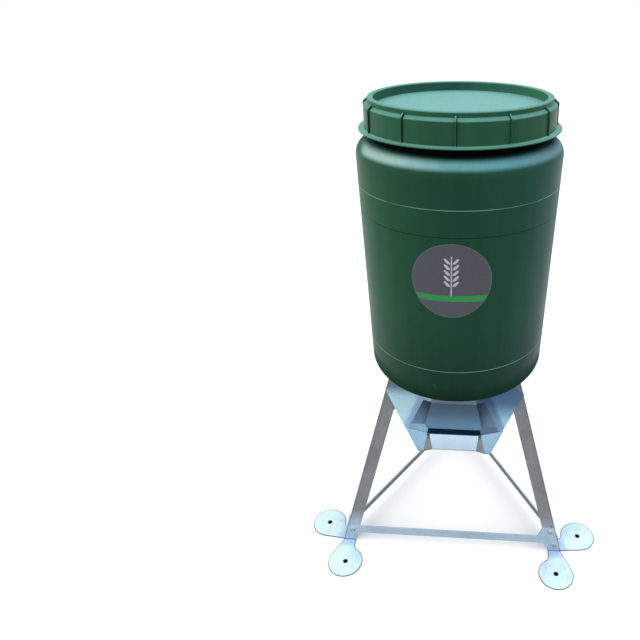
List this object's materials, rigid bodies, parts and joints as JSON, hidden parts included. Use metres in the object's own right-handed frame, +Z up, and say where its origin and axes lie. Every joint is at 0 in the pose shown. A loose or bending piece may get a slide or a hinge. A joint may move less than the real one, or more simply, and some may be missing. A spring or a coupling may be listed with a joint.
{
  "type": "pheasant feeder barrel",
  "caption": "Pheasant feeder: a green screw-lid keg on a galvanised folded-steel stand, with a feed head of roofed mouths over a lipped tray, flat crossbars and pegged feet.",
  "frame": {"origin": "on the ground under the middle of the object's outline; the keg's axis stands at y = -0.0557 m", "axes": "+Z up along the keg's axis; -Y towards the side with the round label; +X to the right as seen from that side"},
  "size_m": [0.7344, 0.6473, 1.06],
  "materials": {
    "keg_green": "satin, blow moulded",
    "lid_green": "satin, injection moulded",
    "seal_black": "matte",
    "label_grey": "printed film, satin",
    "sheet_zinc": "galvanised",
    "leg_zinc": "galvanised",
    "bolt_zinc": "zinc plated"
  },
  "bodies": {
    "stand": {"clamp_ring": "sheet_zinc", "crossbar_1": "sheet_zinc", "crossbar_2": "sheet_zinc", "crossbar_3": "sheet_zinc", "crossbar_bolt_1": "bolt_zinc", "crossbar_bolt_2": "bolt_zinc", "crossbar_bolt_3": "bolt_zinc", "crossbar_bolt_4": "bolt_zinc", "crossbar_bolt_5": "bolt_zinc", "crossbar_bolt_6": "bolt_zinc", "crossbar_bolt_7": "bolt_zinc", "crossbar_bolt_8": "bolt_zinc", "crossbar_bolt_9": "bolt_zinc", "crossbar_nut_1": "bolt_zinc", "crossbar_nut_2": "bolt_zinc", "crossbar_nut_3": "bolt_zinc", "crossbar_nut_4": "bolt_zinc", "crossbar_nut_5": "bolt_zinc", "crossbar_nut_6": "bolt_zinc", "crossbar_nut_7": "bolt_zinc", "crossbar_nut_8": "bolt_zinc", "crossbar_nut_9": "bolt_zinc", "feed_hopper": "sheet_zinc", "feed_tray": "sheet_zinc", "flap_rivet_1": "bolt_zinc", "flap_rivet_2": "bolt_zinc", "flap_rivet_3": "bolt_zinc", "head_panel_1": "sheet_zinc", "head_panel_2": "sheet_zinc", "head_panel_3": "sheet_zinc", "keg_body": "keg_green", "keg_bolt_1": "bolt_zinc", "keg_bolt_2": "bolt_zinc", "keg_bolt_3": "bolt_zinc", "keg_nut_1": "bolt_zinc", "keg_nut_2": "bolt_zinc", "keg_nut_3": "bolt_zinc", "label_disc": "label_grey", "leg_1": "leg_zinc", "leg_2": "leg_zinc", "leg_3": "leg_zinc", "panel_rivet_1": "bolt_zinc", "panel_rivet_2": "bolt_zinc", "panel_rivet_3": "bolt_zinc", "panel_rivet_4": "bolt_zinc", "panel_rivet_5": "bolt_zinc", "panel_rivet_6": "bolt_zinc", "roof_flap_1": "sheet_zinc", "roof_flap_2": "sheet_zinc", "roof_flap_3": "sheet_zinc", "seat_plate": "sheet_zinc"},
    "lid_carrier": {"lid_gasket": "seal_black"},
    "lid": {"screw_lid": "lid_green"}
  },
  "joints": [
    {"name": "lid_lift", "type": "slide", "parent": "stand", "child": "lid_carrier", "axis": [0, 0, 1], "range_m": [0, 0.18]},
    {"name": "lid_turn", "type": "hinge", "parent": "lid_carrier", "child": "lid", "pos_m": [0, -0.05571, 1.03], "axis": [0, 0, 1], "range_deg": [0, 450]}
  ]
}
